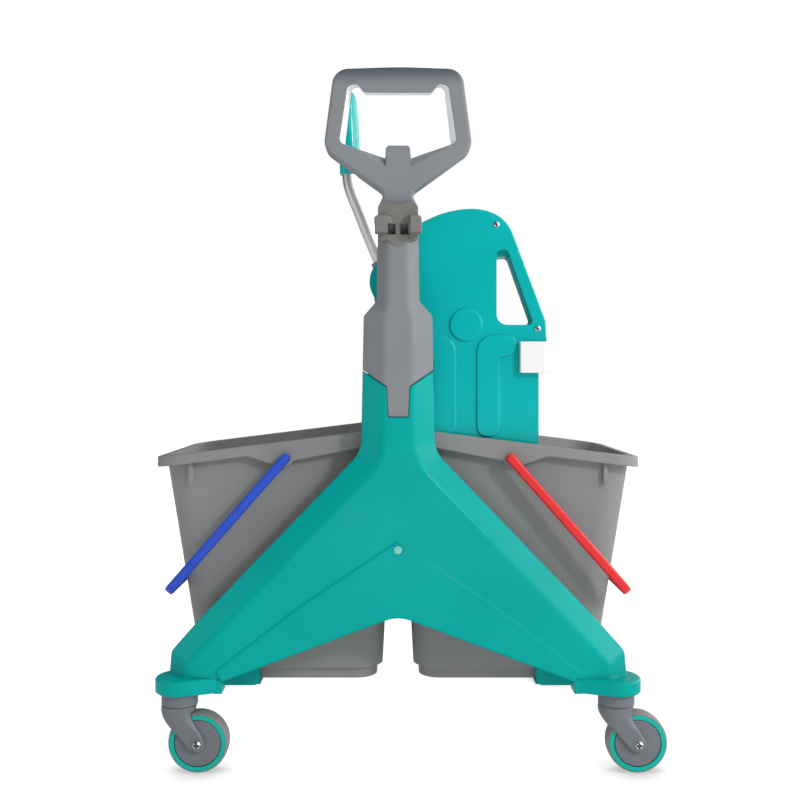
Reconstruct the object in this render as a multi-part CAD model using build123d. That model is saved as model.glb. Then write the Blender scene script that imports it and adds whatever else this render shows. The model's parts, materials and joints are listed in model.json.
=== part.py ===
from build123d import *
import math
import os

os.makedirs("parts", exist_ok=True)

# Driving dimensions in mm. X is to the right, Y to the rear, Z up, the floor is Z = 0.
WHEEL_R = 40.0
WHEEL_TRAIL = 26.0
SWIVEL_X = 291.0
SWIVEL_Y = 198.0
COLLAR_R = 24.0
COLLAR_LOW = 90.0
FOOT_LOW = 106.0
FOOT_HIGH = 126.0
FOOT_R = 32.0

FRAME_FRONT = -212.0
FRAME_BACK = -165.0
BEVEL_DEEP = 21.0
STEP_HIGH = 1.6
FRONT_SOFT = 12.0
REAR_SOFT = 8.0
ARCH_TOP = 209.1
REAR_TOP = 450.0

BUCKET_FLOOR = 100.0
BUCKET_FOOT = 116.0
BUCKET_WALL = 3.5
BUCKET_TOP = 462.0
RIM_END = 338.0
RIM_GAP = 2.5
RIM_SIDE = 158.0
RIM_CORNER = 38.0
RIM_CENTRE = 454.9
RIM_SLOPE = 0.1245
RIM_DROP = 14.0

BAIL_X = 155.0
BAIL_Z = 412.0
BAIL_ARM = 236.0
BAIL_REST = 48.7
BAIL_Y = 168.0

PANEL_OUT = 138.0
PANEL_IN = 132.0
PANEL_LOW = 412.0
GRID_LOW = 434.0
LEVER_X = -5.0
LEVER_Z = 657.0
GEAR_R = 36.0
GEAR_MODULE = 3.0
LEVER_TUBE_R = 12.0
FIXED_JAW_X = 48.0
PRESS_X = 126.0
JAW_THICK = 6.0

POLE_R = 16.1
POLE_Y = -229.0


# Helpers for the shapes that repeat.
def rounded(corners, plane):
    """A face from (u, v, radius) corners in a plane."""
    ends = []
    count = len(corners)
    for i, (u, v, r) in enumerate(corners):
        here = Vector(u, v)
        before = (Vector(*corners[i - 1][:2]) - here).normalized()
        after = (Vector(*corners[(i + 1) % count][:2]) - here).normalized()
        if r == 0:
            ends.append((here, None, here))
            continue
        half = math.acos(before.dot(after)) / 2
        run = r / math.tan(half)
        middle = here + (before + after).normalized() * (r / math.sin(half) - r)
        ends.append((here + before * run, middle, here + after * run))
    edges = []
    for i, (start, middle, stop) in enumerate(ends):
        a, m, b = (plane.from_local_coords(p) if p else None for p in (start, middle, stop))
        if m:
            edges.append(ThreePointArc(a, m, b))
        following = plane.from_local_coords(ends[(i + 1) % count][0])
        if (following - b).length > 1e-4:
            edges.append(Line(b, following))
    return Face(Wire(edges))


def upright(y):
    """The plane Y = y with u along X and v along Z."""
    return Plane(origin=(0, y, 0), x_dir=(1, 0, 0), z_dir=(0, -1, 0))


def slab(corners, y0, y1):
    """Corners in X and Z, extruded from y0 to y1."""
    return extrude(rounded(corners, upright(y0)), amount=y1 - y0, dir=(0, 1, 0))


def level(corners, z0, z1):
    """Corners in X and Y, extruded from z0 to z1."""
    return extrude(rounded(corners, Plane.XY.offset(z0)), amount=z1 - z0, dir=(0, 0, 1))


def block(x0, x1, y0, y1, z0, z1):
    return Pos((x0 + x1) / 2, (y0 + y1) / 2, (z0 + z1) / 2) * Box(x1 - x0, y1 - y0, z1 - z0)


def rod_y(x, z, r, y0, y1):
    return Pos(x, (y0 + y1) / 2, z) * Rot(90, 0, 0) * Cylinder(r, y1 - y0)


def rod_z(x, y, r, z0, z1):
    return Pos(x, y, (z0 + z1) / 2) * Cylinder(r, z1 - z0)


def both(right):
    """A right-hand half outline closed with its mirror image."""
    left = [(-u, v, r) for u, v, r in reversed(right) if u != 0]
    return right + left


def frame_box(x0, x1, y, r):
    """Rounded rectangle corners between x0 and x1, half-width y."""
    return [(x0, -y, r), (x1, -y, r), (x1, y, r), (x0, y, r)]


def mirror_x(shape):
    return mirror(shape, about=Plane.YZ)


def mirror_y(shape):
    return mirror(shape, about=Plane.XZ)


def save(shape, name):
    export_step(shape, "parts/" + name + ".step")


# Front casting and push column share one bevelled outline, parted at a V seat with a tongue.
BEVEL_BACK = FRAME_FRONT + BEVEL_DEEP
LEG_OUT = [
    (49.6, 424.0, 42),
    (268.0, 197.0, 160),
    (303.5, 157.2, 14),
    (307.0, 118.0, 0),
    (236.0, 118.0, 0),
    (233.0, 122.0, 0),
    (0.0, ARCH_TOP, 46),
]
LEG_IN = [
    (19.5, 414.0, 70),
    (247.0, 177.0, 260),
    (278.5, 144.5, 13),
    (282.0, 118.0, 0),
    (236.0, 118.0, 0),
    (233.0, 122.0, 0),
    (0.0, ARCH_TOP, 46),
]
COLUMN_OUT = [(26.8, 736.0, 0), (27.6, 706.0, 90), (28.8, 626.0, 6), (46.0, 606.0, 6)]
COLUMN_IN = [(14.2, 736.0, 0), (14.5, 706.0, 90), (15.5, 622.0, 90), (18.0, 598.0, 90)]
SEAT = [(13.2, 472.0, 2.5), (15.2, 512.0, 0), (60.0, 542.2, 0), (60.0, 800.0, 0)]
SEAM = 1.0
SPIGOT_HALF = 41.0
SPIGOT_FRONT = -188.0
SPIGOT_BACK = -174.0
SPIGOT_TOP = 592.0


def bevelled(outer, inner, soft):
    """A casting whose front flat is smaller than its outline, with a soft crease between them."""
    front = rounded(both(inner), upright(FRAME_FRONT))
    waist = rounded(both(outer), upright(BEVEL_BACK))
    body = loft([waist, front], ruled=True) + slab(both(outer), BEVEL_BACK, FRAME_BACK)
    crease = []
    for edge in body.edges():
        spot = edge.center()
        box = edge.bounding_box()
        under = spot.Z < ARCH_TOP + 2 and abs(spot.X) < 236
        if box.max.Y < FRAME_FRONT + 0.01 and not under:
            crease.append(edge)
    return fillet(crease, soft)


def chevron():
    """The raised lower half of the legs, with a soft step along its top."""
    outline = [
        (0.0, 308.0, 10),
        (125.0, 225.0, 400),
        (241.0, 136.0, 0),
        (233.0, 122.0, 0),
        (0.0, ARCH_TOP, 46),
    ]
    plate = slab(both(outline), FRAME_FRONT - STEP_HIGH, FRAME_FRONT + 2)
    step = []
    for edge in plate.edges():
        spot = edge.center()
        above = spot.Z > 300 - abs(spot.X) * 0.67
        if spot.Y < FRAME_FRONT - STEP_HIGH + 0.01 and above:
            step.append(edge)
    return chamfer(step, STEP_HIGH * 0.6, STEP_HIGH)


def foot(side):
    """Flange over one caster, with the block at its inner end."""
    pad = rod_z(SWIVEL_X, -SWIVEL_Y, FOOT_R, FOOT_LOW, FOOT_HIGH)
    neck = [(240, -212, 0), (282, -228.7, 0), (282, -167.3, 0), (240, -184, 0)]
    pad = pad + level(neck, FOOT_LOW, FOOT_HIGH)
    pad = fillet(pad.edges().group_by(Axis.Z)[-1] + pad.edges().group_by(Axis.Z)[0], 3.5)
    pad = pad + block(233, 243, -212, -184, FOOT_LOW, 124)
    return pad if side > 0 else mirror_x(pad)


def casting(body, hollow_top):
    """Creases, feet, the hollow at the back and the king pin holes of a frame."""
    body = body + chevron()
    for side in (1, -1):
        body = body + foot(side)
    hollow = [
        (36.0, hollow_top, 4),
        (36.0, 414.0, 30),
        (256.0, 186.0, 10),
        (256.0, 142.0, 6),
        (226.0, 142.0, 10),
        (0.0, ARCH_TOP + 17, 40),
    ]
    body = body - slab(both(hollow), FRAME_FRONT + 26, FRAME_BACK + 1)
    body = body + block(-18, 18, FRAME_FRONT + 20, FRAME_BACK, 250, 340)
    for x in (SWIVEL_X, -SWIVEL_X):
        body = body - rod_z(x, -SWIVEL_Y, 5.5, FOOT_LOW - 1, 122)
    return body - rod_y(0, 296, 5.6, FRAME_FRONT - 3, FRAME_FRONT + 12)


whole = bevelled(COLUMN_OUT + LEG_OUT, COLUMN_IN + LEG_IN, FRONT_SOFT)
spigot = block(-SPIGOT_HALF, SPIGOT_HALF, SPIGOT_FRONT, SPIGOT_BACK, 455, SPIGOT_TOP)
seat_cut = [(u + SEAM * 0.6, v - SEAM, r) for u, v, r in SEAT]
front_frame = whole - slab(both(seat_cut), -300, -100)
front_frame = casting(front_frame, 440.0) + spigot

column = whole & slab(both(SEAT), -300, -100)
column = column - block(-SPIGOT_HALF, SPIGOT_HALF, SPIGOT_FRONT, SPIGOT_BACK, 400, SPIGOT_TOP)
column = column - block(-14, 14, -198, -178, 696, 740)
COLUMN_SCREWS = [(0, 562), (0, 582), (0, 714)]
for x, z in COLUMN_SCREWS:
    column = column - rod_y(x, z, 2.5, -180, -160)
    front_frame = front_frame - rod_y(x, z, 2.5, -186, -160)

rear_out = [(49.0, REAR_TOP, 0)] + LEG_OUT
rear_in = [(19.5, REAR_TOP, 0)] + LEG_IN
rear_frame = mirror_y(casting(bevelled(rear_out, rear_in, REAR_SOFT), REAR_TOP - 12))


def screw_y(x, z, r, head_r, head_y, head_thick, tip_y):
    """A round-head screw along Y: the head stands away from its tip."""
    out = -1 if tip_y > head_y else 1
    shank = rod_y(x, z, r, min(head_y, tip_y), max(head_y, tip_y))
    a, b = sorted((head_y, head_y + out * head_thick))
    head = rod_y(x, z, head_r, a, b)
    rim = head.faces().sort_by(Axis.Y)[0 if out < 0 else -1].edges()
    return shank + fillet(rim, head_thick * 0.4)


column_screws = [screw_y(x, z, 2.5, 4.5, FRAME_BACK, 2.5, -186) for x, z in COLUMN_SCREWS]
save(Compound(column_screws), "column_screws")

# Push handle: a D loop with a drafted opening, a centre post and a spigot in the column.
HANDLE_FRONT = -202.0
HANDLE_BACK = -168.0
LOOP = both(
    [
        (0.0, 937.7, 600),
        (85.4, 934.8, 22),
        (99.6, 828.5, 22),
        (21.0, 771.5, 8),
        (20.5, 764.0, 8),
        (26.6, 751.0, 3),
        (26.8, 736.0, 0),
    ]
)
HOLE_FRONT = both(
    [
        (44.5, 902.3, 8),
        (54.5, 914.0, 5),
        (67.0, 911.8, 8),
        (78.3, 836.0, 8),
        (16.9, 816.3, 0),
        (15.8, 832.2, 5),
    ]
)
HOLE_BACK = both(
    [
        (44.5, 908.5, 8),
        (53.5, 919.5, 5),
        (63.0, 917.5, 8),
        (72.5, 838.0, 8),
        (17.9, 819.5, 0),
        (16.8, 832.2, 5),
    ]
)
handle = slab(LOOP, HANDLE_FRONT, HANDLE_BACK)
round_edges = [
    e
    for e in handle.edges()
    if abs(e.bounding_box().max.Y - e.bounding_box().min.Y) < 0.01 and e.center().Z > 775
]
handle = fillet(round_edges, 4.0)
opening = loft(
    [rounded(HOLE_FRONT, upright(HANDLE_FRONT)), rounded(HOLE_BACK, upright(HANDLE_BACK))], ruled=True
)
handle = handle - opening


def solid_of(corners, faces):
    """A solid with flat faces, each a list of corner numbers."""
    sides = [Face(Wire.make_polygon([corners[i] for i in f], close=True)) for f in faces]
    return Solid(Shell(sides))


for side in (1, -1):
    a = Vector(side * 75.0, HANDLE_FRONT - 0.5, 835.5)
    b = Vector(side * 16.5, HANDLE_FRONT - 0.5, 803.5)
    c = Vector(side * 16.5, HANDLE_FRONT - 0.5, 822.0)
    d = Vector(side * 16.5, HANDLE_FRONT + 15.0, 822.0)
    handle = handle - solid_of([a, b, c, d], [(0, 1, 2), (0, 1, 3), (1, 2, 3), (0, 2, 3)])
handle = handle + block(-14, 14, -198, -178, 700, 740)
handle = handle - rod_y(0, 714, 2.5, -186, -170)
save(handle, "push_handle")

# Pole clip on the neck: two ears round a 32 mm pole, with a peg in a pocket and a half-round tab.
pocket = block(-15.5, 15.5, -220, FRAME_FRONT + 6, 712.5, 726.5)
column = column - pocket
clip = slab(both([(26.6, 704.5, 4), (26.4, 752.0, 6), (12.0, 757.0, 12), (0.0, 751.5, 14)]), -212.6, -206)
for side in (1, -1):
    ear = [(7, 713, 2), (31, 713, 2), (31, 736, 6), (7, 736, 6)]
    ear = slab([(side * u, v, r) for u, v, r in ear[::side]], -230, -208)
    front = ear.faces().sort_by(Axis.Y)[0]
    clip = clip + fillet(front.edges(), 1.8)
clip = clip - rod_z(0, POLE_Y, POLE_R, 700, 760) - pocket
clip = clip + block(-3.2, 3.2, -212.8, FRAME_FRONT + 6, 712.5, 726.5)
tab = rod_y(0, 713, 15.0, -212.8, -206) & block(-20, 20, -220, -200, 690, 712.5)
clip = clip + tab - column - slab(LOOP, HANDLE_FRONT, HANDLE_BACK)
save(column, "push_column")
save(clip, "pole_clip")

# Cover plugs over the beam bolts.
plug = rod_y(0, 296, 5.5, FRAME_FRONT - STEP_HIGH - 0.4, FRAME_FRONT + 12)
save(Compound([plug, mirror_y(plug)]), "cover_plugs")

# Centre beam between the buckets, with a flange at each end.
beam = slab(both([(10.0, 212.0, 3), (5.0, 440.4, 2)]), FRAME_BACK, -FRAME_BACK)
for y0, y1 in ((FRAME_BACK, FRAME_BACK + 8), (-FRAME_BACK - 8, -FRAME_BACK)):
    beam = beam + slab(both([(28.0, 240.0, 6), (28.0, 340.0, 6)]), y0, y1)

# Bucket trays between the feet, with a lip in front and behind.
TRAY_LOW = 95.5
TRAY_TOP = 99.6
TRAY_IN = 192.0
TRAY_OUT = 290.0
TRAY_LIP = 141.0
tray = block(TRAY_IN, TRAY_OUT, -TRAY_LIP, TRAY_LIP, TRAY_LOW, TRAY_TOP)
lip = [(TRAY_IN, TRAY_LOW, 9), (TRAY_OUT, TRAY_LOW, 0), (TRAY_OUT, 121, 0), (TRAY_IN, 121, 4)]
arm = [(246, 100, 6), (TRAY_OUT, 100, 6), (TRAY_OUT, 138, 6), (246, 138, 6)]
tray = tray & level(frame_box(TRAY_IN, TRAY_OUT, TRAY_LIP, 2), 90, 110)
for side in (1, -1):
    y0, y1 = sorted((side * TRAY_LIP, side * (TRAY_LIP - 5)))
    tray = tray - block(TRAY_IN - 1, TRAY_OUT + 1, y0, y1, 90, 130) + slab(lip, y0, y1)
    y0, y1 = sorted((side * (TRAY_LIP - 5), side * -FRAME_BACK))
    tray = tray + slab(arm, y0, y1)
for y in range(-96, 97, 48):
    tray = tray - level([(206, y - 9, 8), (276, y - 9, 8), (276, y + 9, 8), (206, y + 9, 8)], 90, 105)

BOLTS = [(x, z, TRAY_LIP - 5) for x in (-280, -258, 258, 280) for z in (129,)]
BOLTS += [(x, z, -FRAME_BACK - 8) for x in (-14, 14) for z in (268, 324)]
trays = {"left_tray": mirror_x(tray), "right_tray": tray}
bolts = []
for x, z, y in BOLTS:
    bolts.append(screw_y(x, z, 3.0, 5.0, -y, 4.0, -y - 40))
    bolts.append(screw_y(x, z, 3.0, 5.0, y, 4.0, y + 40))
    hole = rod_y(x, z, 3.0, -y - 40, y + 40)
    front_frame = front_frame - hole
    rear_frame = rear_frame - hole
    beam = beam - hole if abs(x) < 20 else beam
    trays = {n: t - hole for n, t in trays.items()} if abs(x) > 20 else trays
save(front_frame, "front_frame")
save(rear_frame, "rear_frame")
save(beam, "centre_beam")
for name, shape in trays.items():
    save(shape, name)
save(Compound(bolts), "frame_bolts")

# Casters: the front pair trails to the right, the rear pair to the left.
TYRE_HALF = 13.0
ARM_IN = 14.0
ARM_OUT = 19.5


def ring(profile):
    """A turned part about the wheel axle, from (radius, y) points."""
    axle = Plane(origin=(WHEEL_TRAIL, 0, WHEEL_R), x_dir=(1, 0, 0), z_dir=(0, 0, 1))
    points = [axle.from_local_coords((r, y, 0)) for r, y in profile]
    face = Face(Wire.make_polygon(points, close=True))
    return revolve(face, Axis((WHEEL_TRAIL, 0, WHEEL_R), (0, 1, 0)))


def neck(z, x0, x1, y, r):
    """One level section of the fork."""
    corners = [(x0, -y, r), (x1, -y, r), (x1, y, r), (x0, y, r)]
    return rounded(corners, Plane.XY.offset(z))


def caster_parts():
    """One caster with its swivel axis on Z and its wheel trailing along +X."""
    half = TYRE_HALF
    tyre = [(34, -9), (37.2, -9), (37.2, -half + 0.4), (WHEEL_R, -8)]
    tyre = ring(tyre + [(r, -y) for r, y in reversed(tyre)])
    core = [(4.05, -9), (31.3, -9), (31.3, -half), (37.0, -half), (37.0, -9), (34, -9)]
    core = ring(core + [(r, -y) for r, y in reversed(core)])
    cover = ring([(8.0, -9), (8.0, -half), (29.5, -half), (30.5, -half + 1), (30.5, -9)])
    covers = Compound([cover, mirror_y(cover)])
    top = COLLAR_LOW - 0.8
    nose = WHEEL_TRAIL + 10.0
    shank = [
        neck(top, -23.5, 23.5, 23.5, 23.2),
        neck(80.0, -23.5, 21.0, 22.5, 20.0),
        neck(62.0, -11.4, 25.8, ARM_OUT, 9.0),
        neck(WHEEL_R, 9.0, nose, ARM_OUT, 4.0),
    ]
    legs = loft(shank) + fillet(rod_y(WHEEL_TRAIL, WHEEL_R, 10, -ARM_OUT, ARM_OUT).edges(), 2.0)
    heel = [(9.2, WHEEL_R + 0.5, 0), (WHEEL_TRAIL, WHEEL_R + 0.5, 0), (18.7, 33.0, 0)]
    legs = legs + slab(heel, -ARM_OUT, ARM_OUT)
    fork = legs - rod_y(WHEEL_TRAIL, WHEEL_R, WHEEL_R + 1.5, -ARM_IN, ARM_IN)
    fork = fork - rod_z(0, 0, 5.55, 60, 100) - rod_z(0, 0, 9.0, 60, 82.5)
    fork = fork - rod_y(WHEEL_TRAIL, WHEEL_R, 4.0, -40, 40)
    axle = rod_y(WHEEL_TRAIL, WHEEL_R, 4.0, -ARM_OUT, ARM_OUT)
    for a, b in ((-ARM_OUT - 3.2, -ARM_OUT), (ARM_OUT, ARM_OUT + 3.2)):
        head = rod_y(WHEEL_TRAIL, WHEEL_R, 5.7, a, b)
        axle = axle + fillet(head.faces().sort_by(Axis.Y)[0 if a < 0 else -1].edges(), 1.4)
    return {"fork": fork, "axle": axle, "tyre": tyre, "wheel_core": core, "hub_covers": covers}


CASTERS = {
    "front_left": (-SWIVEL_X, -SWIVEL_Y, 0),
    "front_right": (SWIVEL_X, -SWIVEL_Y, 0),
    "rear_left": (-SWIVEL_X, SWIVEL_Y, 180),
    "rear_right": (SWIVEL_X, SWIVEL_Y, 180),
}
one_caster = caster_parts()
collar = rod_z(0, 0, COLLAR_R, COLLAR_LOW, FOOT_LOW) - rod_z(0, 0, 5.5, 80, 110)
pin = rod_z(0, 0, 5.5, 79, 122) + rod_z(0, 0, 8.0, 77.6, 82.1)
collars, pins = [], []
for where, (x, y, turn) in CASTERS.items():
    place = Pos(x, y, 0) * Rot(0, 0, turn)
    for name, shape in one_caster.items():
        save(place * shape, where + "_" + name)
    collars.append(Pos(x, y, 0) * collar)
    pins.append(Pos(x, y, 0) * pin)
save(Compound(collars), "caster_collars")
save(Compound(pins), "king_pins")

# Buckets: a drafted tub on a narrower foot, with a sloping hollow rim.
def rim_slab(x0, x1, high, low):
    """The space between two planes parallel to the rim, measured down from its top."""
    corners = []
    for x, down in ((x0, high), (x1, high), (x1, low), (x0, low)):
        corners.append((x, RIM_CENTRE - RIM_SLOPE * x - down, 0))
    return slab(corners, -200, 200)


def tub(grow, low, high):
    """The drafted body, grown outwards by a wall thickness."""
    rise = (high - BUCKET_FOOT) / (BUCKET_TOP - BUCKET_FOOT)
    fall = (low - BUCKET_FOOT) / (BUCKET_TOP - BUCKET_FOOT)
    sections = []
    for z, t in ((low, fall), (high, rise)):
        x0 = 22.0 - 16.4 * t - grow
        x1 = 283.0 + 53.0 * t + grow
        y = 128.0 + 19.8 * t + grow
        sections.append(rounded(frame_box(x0, x1, y, 36.0 + 6 * t + grow), Plane.XY.offset(z)))
    return loft(sections, ruled=True)


def right_bucket_shape():
    body = tub(0, BUCKET_FOOT, BUCKET_TOP) & rim_slab(-20, 400, 0, 500)
    body = body + level(frame_box(30, 268, 121, 30), BUCKET_FLOOR, BUCKET_FOOT + 2)
    rim_plan = frame_box(RIM_GAP, RIM_END, RIM_SIDE, RIM_CORNER)
    rim = level(rim_plan, 380, 470) & rim_slab(-20, 400, 0, RIM_DROP)
    inner_plan = frame_box(RIM_GAP + 3.5, RIM_END - 3.5, RIM_SIDE - 3.5, RIM_CORNER - 3.5)
    groove = level(inner_plan, 370, 470) & rim_slab(-20, 400, BUCKET_WALL, 60)
    rim = rim - groove
    rim_edges = []
    for edge in rim.edges():
        spot = edge.center()
        if abs(RIM_CENTRE - RIM_SLOPE * spot.X - spot.Z) < 0.05:
            rim_edges.append(edge)
    rim = fillet(rim_edges, 1.6)
    apron = [(30, 452, 0), (30, 431, 4), (173, 403.6, 10), (214, 418, 0), (214, 425, 0)]
    for side in (1, -1):
        y0, y1 = sorted((side * RIM_SIDE, side * (RIM_SIDE - 3.5)))
        rim = rim + (slab(apron, y0, y1) & rim_slab(-20, 400, 3, 80))
        y0, y1 = sorted((side * RIM_SIDE, side * 140.0))
        rim = rim + rod_y(BAIL_X, BAIL_Z, 11.0, y0, y1)
        y0, y1 = sorted((side * 151.0, side * 138.0))
        rim = rim + slab([(284, 376, 2), (290, 376, 2), (290, 412, 0), (284, 412, 0)], y0, y1)
    body = body + rim
    body = body - (tub(-BUCKET_WALL, BUCKET_FOOT + BUCKET_WALL, BUCKET_TOP + 20))
    body = body - level(frame_box(33.5, 264.5, 117.5, 27), BUCKET_FLOOR + 3.5, BUCKET_FOOT + 8)
    for side in (1, -1):
        y0, y1 = sorted((side * 170.0, side * 148.0))
        body = body - rod_y(BAIL_X, BAIL_Z, 6.05, y0, y1)
        for x0, x1 in ((40, 64), (150, 174)):
            lug = Plane(origin=(x0, 0, 0), x_dir=(0, 1, 0), z_dir=(1, 0, 0))
            wedge = [(126, 411.5), (142.5, 411.5), (140.5, 380), (126, 402)]
            wedge = [(side * u, v, 0) for u, v in wedge]
            body = body + extrude(rounded(wedge, lug), amount=x1 - x0, dir=(1, 0, 0))
    return body


right_bucket = right_bucket_shape()
save(right_bucket, "right_bucket")
save(mirror_x(right_bucket), "left_bucket")

# Bails: a flat bar bent to a U, with a pin at each end, resting against the outer wall.
angle = math.radians(BAIL_REST)
reach = Vector(math.cos(angle), 0, -math.sin(angle))
hang = Plane(origin=(BAIL_X, 0, BAIL_Z), x_dir=reach, z_dir=(math.sin(angle), 0, math.cos(angle)))
bail_out = BAIL_Y + 5
bail_in = BAIL_Y - 5
tip = BAIL_ARM + 8
crook = BAIL_ARM - 4
outer_u = [(-8, -bail_out, 0), (tip, -bail_out, 16), (tip, bail_out, 16), (-8, bail_out, 0)]
inner_u = [(-9, -bail_in, 0), (crook, -bail_in, 9), (crook, bail_in, 9), (-9, bail_in, 0)]
half_bar = 6.5
bail = extrude(rounded(outer_u, hang), amount=half_bar, both=True)
bail = bail - extrude(rounded(inner_u, hang), amount=half_bar + 1, both=True)
tips = []
for edge in bail.edges():
    if abs(edge.length - 10) < 0.01 and (edge.center() - hang.origin).length < bail_out - 2:
        tips.append(edge)
bail = fillet(tips, 6.4)
long_edges = []
for edge in bail.edges():
    if abs(abs(hang.to_local_coords(edge.center()).Z) - half_bar) < 0.01:
        long_edges.append(edge)
bail = fillet(long_edges, 3.6)
for side in (1, -1):
    y0, y1 = sorted((side * 149.0, side * 165.0))
    bail = bail + rod_y(BAIL_X, BAIL_Z, 6.0, y0, y1)
save(bail, "right_bail")
save(mirror_x(bail), "left_bail")

# Wringer panels: the front one has a wing with a carry grip.
NOSE = [(-30, 606), (-30, 632), (-39.5, 653), (-30, 682), (-26, 697)]
CROWN = [(-26, 697), (0, 719), (30, 738), (58, 751), (81, 757), (102, 759)]
CROWN += [(128, 755), (148, 743), (160, 725)]
WING = [(206, 602), (207.6, 574), (196, 574), (196, PANEL_LOW)]
PLAIN = [(150, 690), (150, PANEL_LOW)]
LOWER = [(38, PANEL_LOW), (38, 462), (18, 490), (18, 556), (-30, 606)]
GRIP_FRONT = [(137.5, 597, 15), (190, 597, 6), (152.7, 702, 6), (137.5, 702, 8)]
GRIP_STEP = [(137.5, 597, 15), (189.4, 597, 6), (153.2, 699, 6), (137.5, 699, 8)]
GRIP_LEDGE = [(137.5, 597, 15), (187.9, 597, 6), (153.9, 693.5, 6), (137.5, 693.5, 8)]
GRIP_BACK = [(137.5, 597, 15), (187.5, 597, 6), (154, 692, 6), (137.5, 692, 8)]
GRIP_WALL = [(133.6, 593, 18), (195.5, 593, 9), (155.5, 706, 9), (133.6, 706, 12)]
SCREWS = [(137, 737), (46, 424), (142, 424)]
HOOK = [(109.5, 441, 14), (141.5, 441, 14), (141.5, 553, 6)]
HOOK += [(165, 553, 14), (165, 583, 14), (109.5, 583, 24)]
RAISE = 3.2
CLIP_SCREW = (194.5, 591.6)


def panel(edge, y):
    """One panel as a front panel, from the outline's right-hand edge."""
    at = upright(y)
    line = [at.from_local_coords(p) for p in [CROWN[-1]] + edge + LOWER]
    crown = Spline([at.from_local_coords(p) for p in CROWN], tangents=[(24, 0, 22), (46, 0, -123)])
    sides = [Line(a, b) for a, b in zip(line, line[1:])]
    n = [at.from_local_coords(p) for p in NOSE]
    nose = [Line(n[0], n[1]), ThreePointArc(n[1], n[2], n[3]), Line(n[3], n[4])]
    body = extrude(Face(Wire([crown] + sides + nose)), amount=PANEL_OUT - PANEL_IN, dir=(0, 1, 0))
    front = body.faces().sort_by(Axis.Y)[0]
    body = fillet([e for e in front.edges() if e.center().Z > 580 and e.center().X > 40], 1.9)
    raised = rod_y(95, 597, 23, y - RAISE, y + 1)
    hooks = [raised, slab(HOOK, y - RAISE, y + 1)]
    hooks.append(slab([(190 - u, v, r) for u, v, r in reversed(HOOK)], y - RAISE, y + 1))
    for shape in hooks:
        body = body + fillet(shape.faces().sort_by(Axis.Y)[0].edges(), 2.2)
    for z0, z1 in ((683.0, 689.4), (708.6, 714.0)):
        body = body + block(62, 118, -PANEL_IN, -122.6, z0, z1)
    body = body - rod_y(LEVER_X, LEVER_Z, 10.0, y - 5, y + 10)
    for x, z in SCREWS:
        body = body - rod_y(x, z, 2.5, y - 5, y + 10)
    return body


front_panel = panel(WING, -PANEL_OUT)
front_panel = front_panel + slab(GRIP_WALL, -PANEL_IN - 1, -106)
mouth = loft([rounded(GRIP_FRONT, upright(-PANEL_OUT)), rounded(GRIP_STEP, upright(-126))], ruled=True)
throat = loft([rounded(GRIP_LEDGE, upright(-126)), rounded(GRIP_BACK, upright(-106))], ruled=True)
front_panel = front_panel - mouth - throat
front_panel = front_panel - rod_y(*CLIP_SCREW, 2.5, -PANEL_OUT - 1, -PANEL_IN + 1)
save(front_panel, "wringer_front_panel")
rear_panel = mirror_y(panel(PLAIN, -PANEL_OUT))
save(rear_panel, "wringer_rear_panel")

# Spacer bars, screws and bushes that join the panels.
spacers, screws, bushes = [], [], []
for x, z in SCREWS:
    spacers.append(rod_y(x, z, 7.0, -PANEL_IN, PANEL_IN) - rod_y(x, z, 2.5, -PANEL_IN - 1, PANEL_IN + 1))
    for side in (1, -1):
        screws.append(screw_y(x, z, 2.5, 4.4, side * PANEL_OUT, 2.2, side * 108.0))
save(Compound(spacers), "spacer_bars")
bush = rod_y(LEVER_X, LEVER_Z, 10.0, -PANEL_OUT, -PANEL_IN) + rod_y(LEVER_X, LEVER_Z, 13.0, -PANEL_IN, -130.6)
bush = bush - rod_y(LEVER_X, LEVER_Z, 7.05, -150, -120)
save(Compound([bush, mirror_y(bush)]), "axle_bushes")

# White edge clip in the step of the wing, held by the lower screw through its strap.
CLIP_PLAN = [(169, -150, 2), (212.5, -150, 12), (212.5, -124, 12), (169, -124, 2)]
edge_clip = level(CLIP_PLAN, 530, 573.4)
ends = edge_clip.faces().sort_by(Axis.Z)
edge_clip = fillet(ends[0].edges() + ends[-1].edges(), 1.0)
edge_clip = edge_clip - block(160, 196, -PANEL_OUT, -PANEL_IN, 520, 580)
strap = slab([(188.5, 560, 2), (202, 560, 2), (202, 597, 4), (188.5, 597, 4)], -PANEL_IN, -128.5)
edge_clip = edge_clip + strap - rod_y(*CLIP_SCREW, 2.5, -140, -120)
save(edge_clip, "edge_clip")
screws.append(screw_y(*CLIP_SCREW, 2.5, 4.4, -PANEL_OUT, 2.2, -128.5))
save(Compound(screws), "panel_screws")


# Jaws: perforated plates, the press plate rides on two racks.
def perforated(x, half, low, high):
    plate = block(x, x + JAW_THICK, -half, half, low, high)
    across = Plane(origin=(x - 1, 0, 0), x_dir=(0, 1, 0), z_dir=(1, 0, 0))
    holes = []
    for row in range(7):
        for col in range(9):
            spot = across * Pos((col - 4) * 26.0, low + 22 + row * (high - low - 74) / 6, 4)
            holes.append(spot * Cylinder(5.0, 12))
    return plate - holes


save(perforated(FIXED_JAW_X, PANEL_IN, 446, 642), "fixed_jaw")
press = perforated(PRESS_X, 121, 452, 706)
for y in (-65, 0, 65):
    press = press + block(PRESS_X + JAW_THICK, 137, y - 2.5, y + 2.5, 462, 700)
save(press, "press_plate")

PITCH = math.pi * GEAR_MODULE
RACK_LINE = LEVER_Z + GEAR_R
RACK_END = PRESS_X + JAW_THICK


def tooth(base, tip):
    """Half widths of a tooth at its root and tip for a 20 degree flank."""
    middle = PITCH * 0.21
    slope = math.tan(math.radians(20))
    return middle + base * slope, middle - tip * slope


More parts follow.
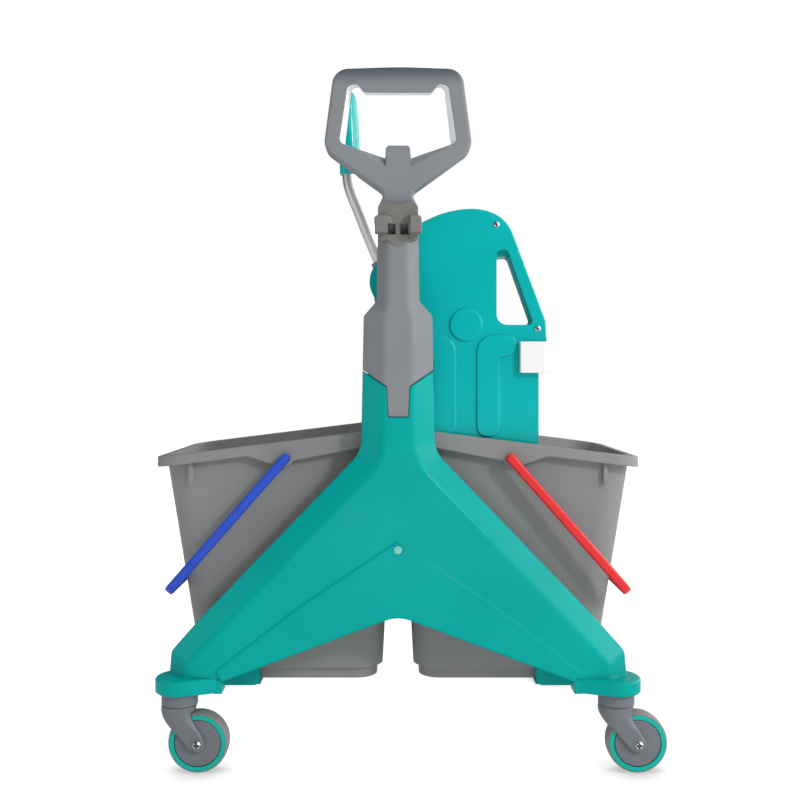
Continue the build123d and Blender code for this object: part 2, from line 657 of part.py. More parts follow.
def rack(y0, y1):
    root, tip = tooth(1.25 * GEAR_MODULE, GEAR_MODULE)
    high = RACK_LINE + 1.25 * GEAR_MODULE
    bar = block(-10.0, RACK_END, y0, y1, high, 708)
    bar = bar + block(52, RACK_END, y0, y1, RACK_LINE - GEAR_MODULE, high + 1)
    for k in range(6):
        x = LEVER_X + PITCH * (k + 0.5)
        low = RACK_LINE - GEAR_MODULE
        flank = [(-root, high + 0.5), (-tip, low), (tip, low), (root, high + 0.5)]
        bar = bar + slab([(x + u, v, 0) for u, v in flank], y0, y1)
    return bar


def sector(y0, y1):
    """Gear sector whose first tooth points up at rest."""
    root, tip = tooth(1.25 * GEAR_MODULE, GEAR_MODULE)
    base = GEAR_R - 1.25 * GEAR_MODULE
    count = round(2 * GEAR_R / GEAR_MODULE)
    fan = rod_y(0, 0, base, y0, y1)
    spread = [(0, 0, 0)]
    for a in (-12, 20, 46, 72):
        spread.append((60 * math.sin(math.radians(a)), 60 * math.cos(math.radians(a)), 0))
    fan = fan & slab(spread, y0, y1)
    crest = GEAR_R + GEAR_MODULE
    flank = slab([(-root, base - 1.5, 0), (root, base - 1.5, 0), (tip, crest, 0), (-tip, crest, 0)], y0, y1)
    for k in range(5):
        fan = fan + Rot(0, k * 360 / count, 0) * flank
    fan = fan + rod_y(0, 0, 14, y0, y1) - rod_y(0, 0, 7.0, y0 - 1, y1 + 1)
    return Pos(LEVER_X, 0, LEVER_Z) * fan


save(rack(-131, -121), "front_rack")
save(rack(121, 131), "rear_rack")
save(sector(-130, -122), "front_sector")
save(sector(122, 130), "rear_sector")

# Lever: axle, hub with a socket, bent tube and grip.
lever_axle = rod_y(LEVER_X, LEVER_Z, 7.0, -137, 137)
save(lever_axle, "lever_axle")
pivot = Vector(LEVER_X, 0, LEVER_Z)
lean = Vector(-18, 0, 39.8).normalized()
socket = Plane(origin=pivot, x_dir=(0, 1, 0), z_dir=lean)
tube_start = pivot + lean * 19
grip_low = Vector(-73.2, 0, 833)
grip_line = Vector(-3.9, 0, 127).normalized()
bends = [tube_start, (-29.5, 0, 711), (-45.0, 0, 748), (-61.5, 0, 790), grip_low]
bend = Spline(bends, tangents=[lean, grip_line])
stem = Line(grip_low, grip_low + grip_line * 107)
path = Wire([bend, stem])
start = Plane(origin=tube_start, x_dir=(0, 1, 0), z_dir=lean)
tube_solid = sweep(start * Circle(LEVER_TUBE_R), path=path)
tube = tube_solid - sweep(start * Circle(LEVER_TUBE_R - 2), path=path)
save(tube, "lever_tube")
hub = rod_y(LEVER_X, LEVER_Z, 19.0, -22, 22) + socket * Pos(0, 0, 25) * Cylinder(16.5, 50)
hub = hub - rod_y(LEVER_X, LEVER_Z, 7.0, -40, 40) - tube_solid - socket * Pos(0, 0, 40) * Cylinder(9.0, 42)
save(hub, "lever_hub")
grip_plane = Plane(origin=grip_low, x_dir=(0, 1, 0), z_dir=grip_line)
outside = [(15.6, 8), (15.6, 32), (15.0, 72), (13.8, 103), (10.2, 122), (0, 130)]
outer = Spline(outside, tangents=[(0, 1), (-1, 0)])
profile = [outer, Line((0, 130), (0, 107)), Line((0, 107), (12, 107)), Line((12, 107), (12, 0))]
profile += [Line((12, 0), (14.2, 0)), Line((14.2, 0), (15.6, 3)), Line((15.6, 3), (15.6, 8))]
turned = revolve(Plane.XZ * Face(Wire(profile)), Axis.Z)
save(grip_plane * turned, "lever_grip")

# Drain grid under the chamber.
grid = block(24, 148, -PANEL_IN, PANEL_IN, GRID_LOW, GRID_LOW + 6)
for row in range(9):
    y = (row - 4) * 28.0
    slot = [(34, y - 9, 6), (138, y - 9, 6), (138, y + 9, 6), (34, y + 9, 6)]
    grid = grid - level(slot, GRID_LOW - 3, GRID_LOW + 9)
save(grid, "drain_grid")
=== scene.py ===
# %% [markdown]
# # A two-bucket mop trolley with a wringer
# The real thing is a cleaning trolley: two teal moulded frames stand on four casters and carry two grey
# buckets, with a wringer hanging in the right-hand one and a push handle on the front frame.
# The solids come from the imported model, in metres, with the floor at Z = 0 and the front at -Y. This lesson
# gives them their finishes, adds the small turned and domed pieces that a plain solid lacks, and lights it.

import json

import bmesh
import bpy
import numpy as np
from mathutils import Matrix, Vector


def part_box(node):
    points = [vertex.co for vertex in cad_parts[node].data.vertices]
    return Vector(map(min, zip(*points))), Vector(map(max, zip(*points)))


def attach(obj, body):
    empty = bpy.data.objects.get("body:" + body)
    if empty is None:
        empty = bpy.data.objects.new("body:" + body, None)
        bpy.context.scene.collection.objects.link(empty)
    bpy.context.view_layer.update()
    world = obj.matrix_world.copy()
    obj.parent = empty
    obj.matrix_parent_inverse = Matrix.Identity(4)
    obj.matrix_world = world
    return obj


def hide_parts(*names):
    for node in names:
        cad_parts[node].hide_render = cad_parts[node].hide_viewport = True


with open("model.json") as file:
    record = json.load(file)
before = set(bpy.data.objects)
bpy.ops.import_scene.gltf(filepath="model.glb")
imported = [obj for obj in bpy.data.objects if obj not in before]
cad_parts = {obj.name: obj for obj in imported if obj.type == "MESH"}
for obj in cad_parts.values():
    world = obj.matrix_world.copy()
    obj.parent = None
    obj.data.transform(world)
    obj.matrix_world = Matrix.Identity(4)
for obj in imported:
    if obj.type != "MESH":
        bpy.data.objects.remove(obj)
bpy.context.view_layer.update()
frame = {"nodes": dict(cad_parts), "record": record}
nodes = frame["nodes"]
scene = bpy.context.scene

# %% [markdown]
# ## Camera
# The catalogue picture is taken level, from straight in front, so upright edges stay upright.
# A camera could be aimed with a constraint, but a level one needs only a place and one turn.
# The small shift puts the horizon a little above the middle of the square picture.

# %% Level camera in front
EYE = (0.0, -1.538, 0.527)
LENS = 45.2  # millimetres, on a sensor 36 mm wide
SHIFT = (0.0025, -0.03125)  # shares of the picture's width

eye = bpy.data.cameras.new("eye")
eye.lens = LENS
eye.sensor_width = 36.0
eye.shift_x, eye.shift_y = SHIFT
camera = bpy.data.objects.new("eye", eye)
camera.location = EYE
camera.rotation_euler = (np.pi / 2, 0.0, 0.0)
scene.collection.objects.link(camera)
scene.camera = camera
scene.view_settings.view_transform = "Standard"
print("lens", eye.lens, "mm")

# %% [markdown]
# ## Wiring shaders with plain expressions
# A finish is a small network of nodes. Linking them by hand hides what is being worked out, so one class
# stands for an output socket: sums on it add Math nodes, and its node method adds every other kind.


# %% A socket that can be reckoned with
class Wire:
    """An output socket of a shader tree, or the bare tree. Operators add Math nodes."""

    def __init__(self, tree, socket=None):
        self.tree = tree
        self.socket = socket

    def node(self, kind, settings=None, sockets=None, out=0):
        """Add a node: settings first, then values or links on its inputs, and give back one output."""
        made = self.tree.nodes.new(kind)
        for key, value in (settings or {}).items():
            setattr(made, key, value)
        for key, value in (sockets or {}).items():
            if isinstance(value, Wire):
                self.tree.links.new(value.socket, made.inputs[key])
            else:
                made.inputs[key].default_value = value
        return Wire(self.tree, made.outputs[out] if len(made.outputs) else None)

    def math(self, operation, first, second):
        return self.node("ShaderNodeMath", {"operation": operation}, {0: first, 1: second})

    def __add__(self, other):
        return self.math("ADD", self, other)

    def __radd__(self, other):
        return self.math("ADD", other, self)

    def __sub__(self, other):
        return self.math("SUBTRACT", self, other)

    def __rsub__(self, other):
        return self.math("SUBTRACT", other, self)

    def __mul__(self, other):
        return self.math("MULTIPLY", self, other)

    def __rmul__(self, other):
        return self.math("MULTIPLY", other, self)

    def __abs__(self):
        return self.math("ABSOLUTE", self, 0.0)

    def smooth(self, low, high):
        """0 below low, 1 above high and an even S between them."""
        names = {"From Min": low, "From Max": high, "Value": self}
        return self.node("ShaderNodeMapRange", {"interpolation_type": "SMOOTHSTEP"}, names)

    def past(self, edge):
        """0 before the edge and 1 after it, with an S one millimetre wide across it."""
        return self.smooth(edge - 0.0005, edge + 0.0005)

    def mix(self, first, second):
        """The first colour where this is 0, the second where it is 1."""
        return self.node("ShaderNodeMix", {"data_type": "RGBA"}, {0: self, 6: first, 7: second}, out=2)


def axes(vector):
    """The three parts of a vector as three wires."""
    parts = vector.node("ShaderNodeSeparateXYZ", {}, {"Vector": vector}).socket.node.outputs
    return [Wire(vector.tree, part) for part in parts]


print("wire ready")

# %% [markdown]
# ## Colours and the parts that every finish shares
# Colours are easiest to pick as a paint chart gives them, but shaders reckon in linear light, so one
# function turns the first into the second. Noise, soft edges and a bump turn up in most finishes. Each
# could be wired anew every time, but as short functions they keep a finish down to what is special in it.


# %% Shared parts of a finish
def tint(red, green, blue):
    """A colour as a paint chart gives it, 0 to 255, turned into the linear light that shaders use."""
    chart = np.array([red, green, blue]) / 255.0
    linear = np.where(chart <= 0.04045, chart / 12.92, ((chart + 0.055) / 1.055) ** 2.4)
    return (*linear.tolist(), 1.0)


def shaded(colour, factor, lift=0.0):
    """A colour made deeper or paler by a factor, and lifted towards white."""
    return tuple(c * factor + lift for c in colour[:3]) + (1.0,)


def noise(place, scale, detail, rough=0.5):
    """A cloudy pattern between 0 and 1, with about scale waves to the metre."""
    sockets = {"Vector": place, "Scale": scale, "Detail": detail, "Roughness": rough}
    return place.node("ShaderNodeTexNoise", {}, sockets)


def soft_edge(board, radius):
    """The surface's direction with every edge rounded to a radius, in the shading alone."""
    return board.node("ShaderNodeBevel", {"samples": 6}, {"Radius": radius}, out="Normal")


def bump(height, strength, distance, under=None):
    """The direction of a surface that a pattern lifts by a distance, starting from the direction under it."""
    sockets = {"Strength": strength, "Distance": distance, "Height": height}
    if under is not None:
        sockets["Normal"] = under
    return height.node("ShaderNodeBump", {}, sockets, out="Normal")


def open_finish(name):
    """A new material, its bare tree, and the Object coordinates that patterns are laid on."""
    material = bpy.data.materials.new(name)
    material.use_nodes = True
    material.node_tree.nodes.clear()
    board = Wire(material.node_tree)
    return material, board, board.node("ShaderNodeTexCoord", out="Object")


def close_finish(board, sockets):
    """A Principled shader with these sockets, wired to the output."""
    shader = board.node("ShaderNodeBsdfPrincipled", {}, sockets)
    board.node("ShaderNodeOutputMaterial", {}, {"Surface": shader})


print("white is", tint(255, 255, 255))

# %% [markdown]
# ## Moulded plastic
# Every large piece is injection-moulded plastic: an even colour with a faint cloudiness, a spark-eroded
# skin whose grain is finer than a millimetre, and edges that are never quite sharp. The grain could be
# real geometry, but it is far too fine, so it is a bump. The soft edges come from the Bevel node, which
# rounds the shading over a few millimetres without a single extra face.


# %% Moulded plastic
CLOUD_WAVES, RUB_WAVES = 7.0, 60.0
RUB_SPREAD = 0.16
GRAIN_LIFT = 0.00005
COAT_ROUGH = 0.12


def moulded(name, colour, rough, soft=0.0012, gloss=0.22, grain=900.0, cloud=0.06, coat=0.0, painted_shading=None):
    """Plastic: colour clouded by a wide noise, roughness by a closer one, and grain as a bump on soft edges.
    The painted shading is a function that paints light and shade into the colour in places."""
    material, board, place = open_finish(name)
    wide = noise(place, CLOUD_WAVES, 4.0)
    fine = noise(place, grain, 2.0)
    rub = noise(place, RUB_WAVES, 5.0, 0.65)
    deep = shaded(colour, 1 - cloud)
    pale = shaded(colour, 1 + cloud, 0.015 * cloud)
    shade = (wide * 0.7 + fine * 0.3).smooth(0.3, 0.7).mix(deep, pale)
    # painted light and shade from the piece's own function, where it has one
    shade = painted_shading(board, place, shade) if painted_shading else shade
    sockets = {
        "Base Color": shade,
        "Roughness": rough + (rub - 0.5) * RUB_SPREAD,
        "Specular IOR Level": gloss,
        "Normal": bump(fine, 0.5, GRAIN_LIFT, soft_edge(board, soft)),
        "Coat Weight": coat,
        "Coat Roughness": COAT_ROUGH,
    }
    close_finish(board, sockets)
    return material


print("plastic ready")

# %% [markdown]
# ## Painted light and shade
# Three kinds of piece have light and shade painted into their colour. The push handle has painted shade
# along its top bar and painted light on the side walls of the hand opening, the buckets have painted light
# on their inner walls, and the column has a painted shadow that shows through the pocket of the pole clip.
# Each could be a separate thin shell with its own plastic, but a mask on the piece's own coordinates gives
# the same line without a second surface, and it moves with the piece.

# %% Painted light and shade on handle, buckets and column
# Where the painted shade and light fall: the handle's top bar, its hand opening, the buckets' middles and the
# clip's pocket.
CROWN_SHADE_FROM, CROWN_SHADE_TO = 0.908, 0.939
OPENING_HALF, OPENING_FOOT, OPENING_TOP = 0.081, 0.81, 0.921
OPENING_SLOPE = 0.32
BUCKET_MIDDLE = 0.155
POCKET_HALF, POCKET_FOOT, POCKET_TOP = 0.016, 0.706, 0.729


def handle_painted_light_shade(board, place, shade):
    """Painted shade that grows towards the top of the bar, and painted light where the wall faces sideways
    inside the opening.
    The opening is as wide as twice its half, and its foot climbs towards both sides."""
    x, _, z = axes(place)
    facing = axes(board.node("ShaderNodeNewGeometry", out="True Normal"))[1]
    wall = 1 - abs(facing).smooth(0.4, 0.7)
    away = abs(x)
    rise = z - away * OPENING_SLOPE
    inside = (1 - away.past(OPENING_HALF)) * rise.past(OPENING_FOOT) * (1 - z.past(OPENING_TOP))
    # painted shade: the top bar darkens towards its top
    crown_shade = z.smooth(CROWN_SHADE_FROM, CROWN_SHADE_TO).mix(shade, tint(70, 78, 88))
    # painted light: walls facing sideways inside the hand opening turn near white
    return (wall * inside).mix(crown_shade, tint(238, 238, 238))


def bucket_painted_light(board, place, shade):
    """Painted light: paler on the inner walls, which are the ones that face the middle of their bucket."""
    x, y, _ = axes(place)
    across, along, _ = axes(board.node("ShaderNodeNewGeometry", out="True Normal"))
    side = board.math("SIGN", x, 0.0)
    inward = across * (side * BUCKET_MIDDLE - x) - along * y
    # painted light: the inner walls turn paler
    return inward.smooth(0.0, 0.02).mix(shade, tint(160, 160, 160))


def column_painted_shade(board, place, shade):
    """A painted shadow that fades out upwards, and shows only through the pocket of the pole clip."""
    x, _, z = axes(place)
    narrow = 1 - abs(x).smooth(POCKET_HALF, POCKET_HALF + 0.004)
    above = z.smooth(POCKET_FOOT, POCKET_FOOT + 0.005)
    below = 1 - z.smooth(POCKET_TOP - 0.012, POCKET_TOP)
    # painted shadow: the column darkened where the clip's pocket lets little light in
    return (narrow * above * below).mix(shade, tint(66, 62, 58))


print("accents on handle, buckets and column")

# %% [markdown]
# ## The plastics of this trolley
# Frames, plugs, wheels and wringer are near shades of teal, the handle, buckets and forks are greys, and the
# bails are red and blue so that clean and dirty water are not mixed up. A material could be built by hand
# for each, but they differ in a few numbers only, so a table holds those and one loop makes them all.
# The lever's grip is the one piece with a finish of its own: a thin clear coat gives its streak of light.

# %% Table of plastics
PLASTICS = {
    "frame_teal": dict(colour=tint(0, 153, 147), rough=0.24, soft=0.005, gloss=0.06),
    "plug_teal": dict(colour=tint(108, 188, 176), rough=0.4),
    # the column, handle and bucket greys take painted light and shade from their functions above
    "column_grey": dict(colour=tint(124, 127, 130), rough=0.5, soft=0.004, gloss=0.12, painted_shading=column_painted_shade),
    "handle_grey": dict(colour=tint(124, 128, 132), rough=0.5, soft=0.003, gloss=0.12, painted_shading=handle_painted_light_shade),
    "clip_grey": dict(colour=tint(114, 112, 108), rough=0.55),
    "wheel_teal": dict(colour=tint(0, 166, 150), rough=0.35),
    "caster_grey": dict(colour=tint(106, 109, 115), rough=0.45, soft=0.002),
    "bucket_grey": dict(
        colour=tint(129, 129, 129), rough=0.52, soft=0.0025, grain=700.0, painted_shading=bucket_painted_light
    ),
    "bail_blue": dict(colour=tint(40, 74, 186), rough=0.38, soft=0.002),
    "bail_red": dict(colour=tint(212, 42, 46), rough=0.38, soft=0.002),
    "clip_white": dict(colour=tint(226, 226, 226), rough=0.4, soft=0.002, cloud=0.02),
    "wringer_grey": dict(colour=tint(120, 122, 124), rough=0.5),
    "wringer_teal": dict(colour=tint(0, 166, 166), rough=0.22, soft=0.0015, gloss=0.16),
}
finishes = {name: moulded(name, **look) for name, look in PLASTICS.items()}
own_finish = {"lever_grip": moulded("grip_teal", tint(0, 170, 168), 0.35, soft=0.0015, gloss=0.1, coat=0.35)}
print("moulded finishes", len(finishes))

# %% [markdown]
# ## Rubber and steel
# The tyres are a dull grey rubber. The lever tube is satin steel with fine marks round it, the screws and
# axles are bright zinc, and the bottom of their cross recess takes a darker steel colour as painted shade.
# A metal takes its look from what it mirrors, so its colour hardly varies: what is worked out over the
# surface is mostly its roughness.


# %% Tyre rubber and steels
SPECK_WAVES, SCUFF_WAVES, MARK_WAVES = 420.0, 34.0, 90.0
SPECK_LIFT, MARK_LIFT = 0.0001, 0.00002
MARK_SPREAD = 0.2


def rubber(name, colour):
    """Dull rubber: a rough face, specked by a fine noise."""
    material, board, place = open_finish(name)
    speck = noise(place, SPECK_WAVES, 6.0)
    scuff = noise(place, SCUFF_WAVES, 4.0)
    sockets = {
        "Base Color": (speck * 0.5 + scuff * 0.5).smooth(0.35, 0.65).mix(shaded(colour, 0.86), colour),
        "Roughness": 0.62 + scuff * 0.2,
        "Specular IOR Level": 0.3,
        "Normal": bump(speck, 0.6, SPECK_LIFT, soft_edge(board, 0.001)),
    }
    close_finish(board, sockets)
    return material


def steel(name, colour, rough, stretch=(1.0, 1.0, 1.0)):
    """Metal: the roughness and a bump follow a noise, which a stretch along Z squeezes into fine rings."""
    material, board, place = open_finish(name)
    rings = board.node("ShaderNodeMapping", {}, {"Vector": place, "Scale": stretch})
    mark = noise(rings, MARK_WAVES, 5.0)
    sockets = {
        "Base Color": mark.smooth(0.3, 0.7).mix(shaded(colour, 0.88), colour),
        "Metallic": 1.0,
        "Roughness": rough + (mark - 0.5) * MARK_SPREAD,
        "Normal": bump(mark, 0.1, MARK_LIFT),
    }
    close_finish(board, sockets)
    return material


finishes["tyre_grey"] = rubber("tyre_grey", tint(138, 132, 132))
finishes["steel"] = steel("steel", tint(214, 216, 220), 0.24)
finishes["lever_steel"] = steel("lever_steel", tint(234, 233, 234), 0.44, (0.5, 0.5, 40.0))
# painted shade: a darker steel colour for the bottoms of the cross recesses
finishes["recess_shade"] = steel("recess_shade", tint(96, 98, 102), 0.5)
print("all finishes", sorted(finishes))

# %% [markdown]
# ## Dressing the solids
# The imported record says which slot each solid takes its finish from. They could be dressed one by one, but
# the record already holds the answer, so one loop dresses them all and can leave none out.

# %% Finish on every solid
slot_of = {row["node"]: row["material_slot"] for row in frame["record"]["subparts"]}
for name, piece in nodes.items():
    piece.data.materials.clear()
    piece.data.materials.append(own_finish.get(name, finishes[slot_of[name]]))
print("dressed", len(slot_of), "solids")

# %% [markdown]
# ## Surfaces from grids
# The small round pieces are worked out as grids of points: one number runs along a profile, the other
# round an axle, and every point is computed at once. Neighbouring points are then joined into quads.
# Modelling them by hand would be as good for one wheel, but here four wheels share one formula.


# %% Grid helpers
MERGE_DISTANCE = 1e-7
SHARP_DEGREES = 32


def quads(rows, cols, wrap_rows=False, wrap_cols=False):
    """Four neighbours of each grid point, as index rows; wrapping joins the last line to the first."""
    at = np.arange(rows * cols).reshape(rows, cols)
    at = np.vstack([at, at[:1]]) if wrap_rows else at
    at = np.hstack([at, at[:, :1]]) if wrap_cols else at
    return np.stack([at[:-1, :-1], at[:-1, 1:], at[1:, 1:], at[1:, :-1]], -1).reshape(-1, 4)


def make_piece(name, patches, slot, body, dark=None):
    """One closed mesh from (points, faces) patches, merged at their seams, facing outwards and smooth.
    Faces whose middles the dark function picks take the darker steel of the cross recesses, painted shade."""
    shift = np.cumsum([0] + [len(p) for p, f in patches])
    points = np.concatenate([p for p, f in patches])
    faces = np.concatenate([f + s for (p, f), s in zip(patches, shift)])
    mesh = bpy.data.meshes.new(name)
    mesh.from_pydata(points.tolist(), [], faces.tolist())
    mesh.materials.append(finishes[slot])
    if dark:
        # painted shade in the cross recesses
        mesh.materials.append(finishes["recess_shade"])
        mesh.polygons.foreach_set("material_index", dark(points[faces].mean(1)).astype(np.int32))
    work = bmesh.new()
    work.from_mesh(mesh)
    bmesh.ops.remove_doubles(work, verts=work.verts, dist=MERGE_DISTANCE)
    bmesh.ops.recalc_face_normals(work, faces=work.faces)
    work.to_mesh(mesh)
    work.free()
    mesh.shade_smooth()
    mesh.set_sharp_from_angle(angle=np.radians(SHARP_DEGREES))
    piece = bpy.data.objects.new(name, mesh)
    scene.collection.objects.link(piece)
    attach(piece, body)
    return piece


def turned(radius, along, centre, steps):
    """A profile spun about an axle along Y: X and Z go round by cosine and sine, Y follows the profile."""
    turn = np.linspace(0, 2 * np.pi, steps, endpoint=False)
    x = centre[0] + np.outer(radius, np.cos(turn))
    z = centre[2] + np.outer(radius, np.sin(turn))
    y = centre[1] + np.outer(along, np.ones(steps))
    return np.stack([x, y, z], -1).reshape(-1, 3)


print("grid helpers ready")

# %% [markdown]
# ## Tyres
# A caster tyre is a soft ring moulded round the wheel core: its tread bulges and rolls over into the sides.
# A stack of cones would do from afar, but the bulge is what catches the light, so the tread is a
# superellipse, a rounded box whose squareness is one exponent, spun about the axle.


# %% Turned tyres
SEAT_RADIUS, SIDE_RADIUS, WHEEL_RADIUS = 0.034, 0.0372, 0.04
HALF_SEAT, HALF_TREAD = 0.009, 0.0126
SQUARENESS = 2.7
SWEEP_STEPS, TURNS = 41, 120


def tyre_profile():
    """Radius and width round one closed section: seat, step, and a superellipse tread between the steps.
    The tread's two parts are a cosine and a sine, each raised to two over the squareness."""
    sweep = np.linspace(-np.pi / 2, np.pi / 2, SWEEP_STEPS)
    bulge = SIDE_RADIUS + (WHEEL_RADIUS - SIDE_RADIUS) * np.cos(sweep) ** (2 / SQUARENESS)
    width = HALF_TREAD * np.sign(sweep) * np.abs(np.sin(sweep)) ** (2 / SQUARENESS)
    radius = np.concatenate([[SEAT_RADIUS, SIDE_RADIUS], bulge, [SIDE_RADIUS, SEAT_RADIUS]])
    along = np.concatenate([[-HALF_SEAT, -HALF_SEAT], width, [HALF_SEAT, HALF_SEAT]])
    return radius, along


CORNERS = ["front_left", "front_right", "rear_left", "rear_right"]


def wheel_centre(corner):
    """Middle of the wheel core's box, which is on the axle."""
    low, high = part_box(corner + "_wheel_core")
    return np.array((low + high) / 2)


for corner in CORNERS:
    radius, along = tyre_profile()
    points = turned(radius, along, wheel_centre(corner), TURNS)
    ring = (points, quads(len(radius), TURNS, True, True))
    tyre = make_piece(corner + "_tread", [ring], "tyre_grey", corner + "_wheel")
    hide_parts(corner + "_tyre")
print("tyre points", len(points))

# %% [markdown]
# ## Screw heads and axle heads
# The bright dots on the panel and the wheels are domed heads with a cross recess. The cross could be cut
# with a boolean, but a dome is a height over a disc, and a cross is a dip in that height wherever a point
# is near one of two lines, so one formula on a polar grid gives both. The faces down in the cross take a
# darker steel colour as painted shade, because a recess this small would otherwise vanish at the size of the
# picture.


# %% Domed heads with a cross
ARM_HALF, ARM_WALL = 0.24, 0.07
ARM_REACH, ARM_END = 0.74, 0.12
# how far the painted shade reaches in each cross, in shares of the radius
DARK_HALF, DARK_REACH = 0.21, 0.68
DOME_FALL, DOME_POWER = 0.98, 2.6
BASE_SHARE, BASE_DROP = 0.995, 0.0002
RINGS, STEPS = 26, 72


def dome(radius, rise, cross, centre, out):
    """Height over a disc: a flat-topped dome, less a cross-shaped dip with sloping walls.
    The cross is measured in shares of the radius, and a skirt and a flat base close the shape."""
    away = np.linspace(0, 1, RINGS)[:, None]
    turn = np.linspace(0, 2 * np.pi, STEPS, endpoint=False)[None, :]
    u = away * np.cos(turn)
    v = away * np.sin(turn)
    near = np.minimum(np.abs(u), np.abs(v))
    far = np.maximum(np.abs(u), np.abs(v))
    arm = np.clip((ARM_HALF - near) / ARM_WALL, 0, 1) * np.clip((ARM_REACH - far) / ARM_END, 0, 1)
    height = rise * np.sqrt(1 - DOME_FALL * away**DOME_POWER) - cross * arm
    top = np.stack([centre[0] + radius * u, centre[1] + out * height, centre[2] + radius * v], -1)
    base_radius = np.array([radius, radius * BASE_SHARE, 0.0])
    base_depth = np.array([0.0, -out * BASE_DROP, -out * BASE_DROP])
    skirt = np.concatenate([top[-1], turned(base_radius, base_depth, centre, STEPS)])
    cap = (top.reshape(-1, 3), quads(RINGS, STEPS, False, True))
    return [cap, (skirt, quads(4, STEPS, False, True))]


def cross_of(centres, radius):
    """A test for face middles: inside the cross of the nearest head, seen along Y, where the shade is
    painted.
    """
    centres = np.array(centres)

    def test(middles):
        apart = (middles[:, None, [0, 2]] - centres[None, :, [0, 2]]) / radius
        nearest = np.argmin((apart**2).sum(-1), 1)
        step = np.abs(apart[np.arange(len(middles)), nearest])
        return (step.min(1) < DARK_HALF) & (step.max(1) < DARK_REACH)

    return test


print("a head has", RINGS * STEPS, "points on its dome")

# %% [markdown]
# ## Screws in the panels and pins in the casters
# Four screws hold the front panel and three the rear one. Each caster's axle is a pin with a head at both
# ends. Both replace plain solids of the same size, and the heads of a caster ride with its fork, because
# the wheel turns on the pin and the pin stays still.

# %% Panel screws and axle pins
PANEL_FACE = 0.138
FRONT_SCREWS = [(0.137, 0.737), (0.046, 0.424), (0.142, 0.424), (0.1945, 0.5916)]
PANEL_SCREWS = [(x, -PANEL_FACE, z) for x, z in FRONT_SCREWS]
PANEL_SCREWS += [(x, PANEL_FACE, z) for x, z in FRONT_SCREWS[:3]]
SCREW_RADIUS, SCREW_RISE = 0.0044, 0.0022
PIN_RADIUS, PIN_RISE = 0.0057, 0.0032
SHANK_RADIUS, SHANK_HALF = 0.004, 0.019
SHANK_STEPS = 48

heads = []
for place in PANEL_SCREWS:
    heads += dome(SCREW_RADIUS, SCREW_RISE, SCREW_RISE / 2, np.array(place), np.sign(place[1]))
screws = make_piece("panel_screw_heads", heads, "steel", "wringer", cross_of(PANEL_SCREWS, SCREW_RADIUS))
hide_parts("panel_screws")
shank_radius = np.array([0, SHANK_RADIUS, SHANK_RADIUS, 0])
shank_along = np.array([-SHANK_HALF, -SHANK_HALF, SHANK_HALF, SHANK_HALF])
for corner in CORNERS:
    low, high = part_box(corner + "_axle")
    middle = wheel_centre(corner)
    ends = []
    for side, tip in ((-1, low.y), (1, high.y)):
        foot = np.array([middle[0], tip - side * PIN_RISE, middle[2]])
        ends += dome(PIN_RADIUS, PIN_RISE, PIN_RISE / 2, foot, side)
    shank = turned(shank_radius, shank_along, middle, SHANK_STEPS)
    ends.append((shank, quads(4, SHANK_STEPS, False, True)))
    pin = make_piece(corner + "_axle_pin", ends, "steel", corner + "_swivel", cross_of([middle], PIN_RADIUS))
    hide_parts(corner + "_axle")
print("heads", len(PANEL_SCREWS) + 2 * len(CORNERS))

# %% [markdown]
# ## Room
# The picture has a pure white ground, yet the object is not washed out. A white world would give the ground
# but flood the object with light, so the world asks what kind of ray looks at it: the camera sees white,
# the light on the object comes from a dim room that is lighter above, behind and to the right, and mirrors
# see a bright wall on the right alone, which draws the pale band along the right-hand slopes.

# %% What surrounds the trolley
WHITE = (1.0, 1.0, 1.0, 1.0)
ROOM, ROOM_RIGHT, ROOM_BACK, ROOM_TOP = 0.16, 0.1, 0.3, 0.7
MIRROR, MIRROR_RIGHT, MIRROR_WALL = 0.05, 1.15, 5.0


def rays(board):
    """1 for a ray from the camera, from a mirror and through glass, as three wires."""
    path = board.node("ShaderNodeLightPath").socket.node.outputs
    kinds = ("Is Camera Ray", "Is Glossy Ray", "Is Transmission Ray")
    return [Wire(board.tree, path[kind]) for kind in kinds]


def studio():
    """White for the camera, a dim room for the light, and a dark one with a bright right wall for mirrors."""
    world = bpy.data.worlds.new("studio")
    scene.world = world
    world.use_nodes = True
    world.node_tree.nodes.clear()
    board = Wire(world.node_tree)
    across, behind, above = axes(board.node("ShaderNodeTexCoord", out="Generated"))
    room = ROOM + across.smooth(-0.9, 0.9) * ROOM_RIGHT
    room = room + behind.smooth(-0.1, 0.6) * ROOM_BACK + above.smooth(0.2, 0.9) * ROOM_TOP
    seen, mirror, through = rays(board)
    white = board.math("MAXIMUM", seen, through)
    glints = MIRROR + across.smooth(-0.15, 0.6) * MIRROR_RIGHT + across.smooth(0.5, 0.9) * MIRROR_WALL
    level = room + white * (1.0 - room) + mirror * (glints - room)
    shine = board.node("ShaderNodeBackground", {}, {"Color": WHITE, "Strength": level})
    board.node("ShaderNodeOutputWorld", {}, {"Surface": shine})


studio()
print("world", scene.world.name)

# %% [markdown]
# ## Floor
# The floor is white with a small grey shadow under each wheel. A lit white floor turns grey in places, and a
# glowing one loses its shadows, so this one is mixed: a glow that dims near the wheels, by ambient
# occlusion, and a lit share on top. Its glow also brightens the undersides, as a white paper floor does.


# %% Glowing floor
SHADE_REACH = 0.08
GLOW_NEAR, GLOW_FREE = 0.62, 1.22
PAPER, PAPER_MIRROR = 0.9, 0.35
SHARE, SHARE_SEEN, SHARE_MIRROR = 0.52, 0.33, 0.22


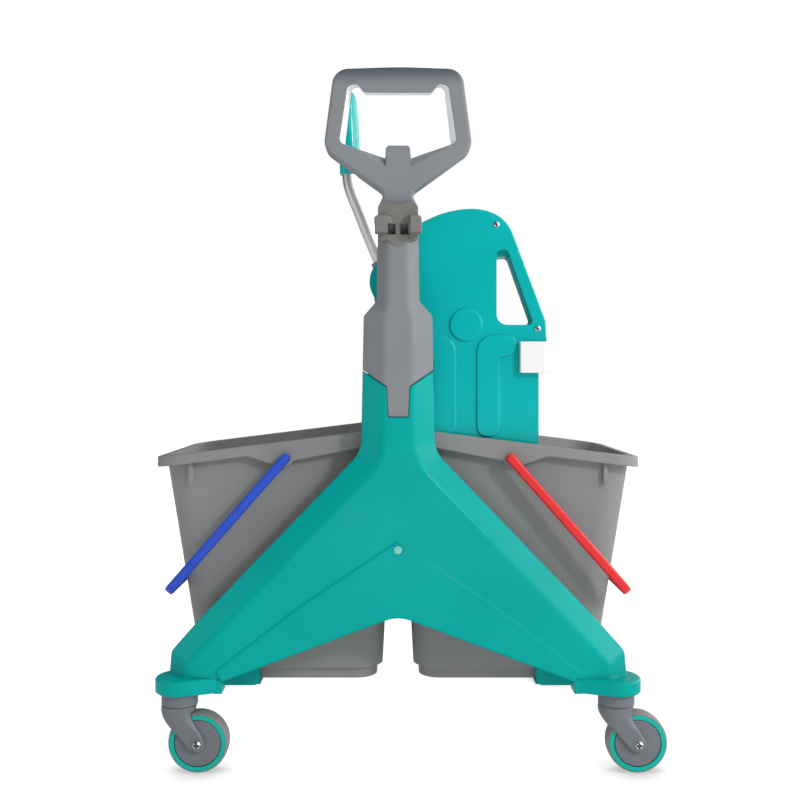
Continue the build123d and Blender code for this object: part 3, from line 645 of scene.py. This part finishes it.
def floor_finish():
    """A glow that fades where things are close, mixed with a lit white. The camera sees more of the glow, and
    mirrors less."""
    material, board, _ = open_finish("pale_floor")
    seen, mirror, _ = rays(board)
    clear = board.node("ShaderNodeAmbientOcclusion", {"samples": 8}, {"Distance": SHADE_REACH}, out="AO")
    white = GLOW_NEAR + clear.smooth(0.35, 1.0) * (GLOW_FREE - GLOW_NEAR)
    glow = board.node("ShaderNodeEmission", {}, {"Color": WHITE, "Strength": white})
    lit = board.node("ShaderNodeBsdfDiffuse", {}, {"Color": PAPER - mirror * PAPER_MIRROR})
    share = SHARE + seen * SHARE_SEEN - mirror * SHARE_MIRROR
    shared = board.node("ShaderNodeMixShader", {}, {0: share, 1: lit, 2: glow})
    board.node("ShaderNodeOutputMaterial", {}, {"Surface": shared})
    return material


REACH = 6.0
ground = bpy.data.meshes.new("ground")
corners = [(-REACH, -REACH, 0), (REACH, -REACH, 0), (REACH, REACH, 0), (-REACH, REACH, 0)]
ground.from_pydata(corners, [], [(0, 1, 2, 3)])
ground.materials.append(floor_finish())
ground_piece = bpy.data.objects.new("ground", ground)
scene.collection.objects.link(ground_piece)
print("floor", 2 * REACH, "m wide")

# %% [markdown]
# ## Lamps
# A small key at the front right casts the shadows of the bails, the clip and the frame. A softbox, two
# strips and a low card fill in from the front, the sides and below. A sun would be simpler, but it lights
# near and far alike, while lamps close by fall off across the trolley as they do in a real studio.

# %% Five lamps
CHEST = (0.0, -0.15, 0.5)
LAMPS = {
    "right_key": dict(place=(1.7, -2.0, 1.7), aim=CHEST, size=(0.35, 0.35), power=32.0),
    "front_softbox": dict(place=(0.7, -2.6, 1.9), aim=(0.0, 0.0, 0.5), size=(0.6, 0.9), power=5.0),
    "right_strip": dict(place=(2.5, -0.8, 1.2), aim=CHEST, size=(0.5, 1.2), power=12.0),
    "left_strip": dict(place=(-2.6, -0.8, 0.9), aim=CHEST, size=(0.5, 1.2), power=5.0),
    "low_card": dict(place=(0.2, -1.9, 0.12), aim=(0.0, 0.0, 0.2), size=(1.6, 0.2), power=2.5),
}


def lamp(name, place, aim, size, power):
    """An area lamp at a place, turned so that its face looks at the aim."""
    light = bpy.data.lights.new(name, "AREA")
    light.shape = "RECTANGLE"
    light.size, light.size_y = size
    light.energy = power
    thing = bpy.data.objects.new(name, light)
    thing.location = place
    away = Vector(place) - Vector(aim)
    thing.rotation_euler = away.to_track_quat("Z", "Y").to_euler()
    scene.collection.objects.link(thing)


for name, settings in LAMPS.items():
    lamp(name, **settings)
print("lamps", list(LAMPS))
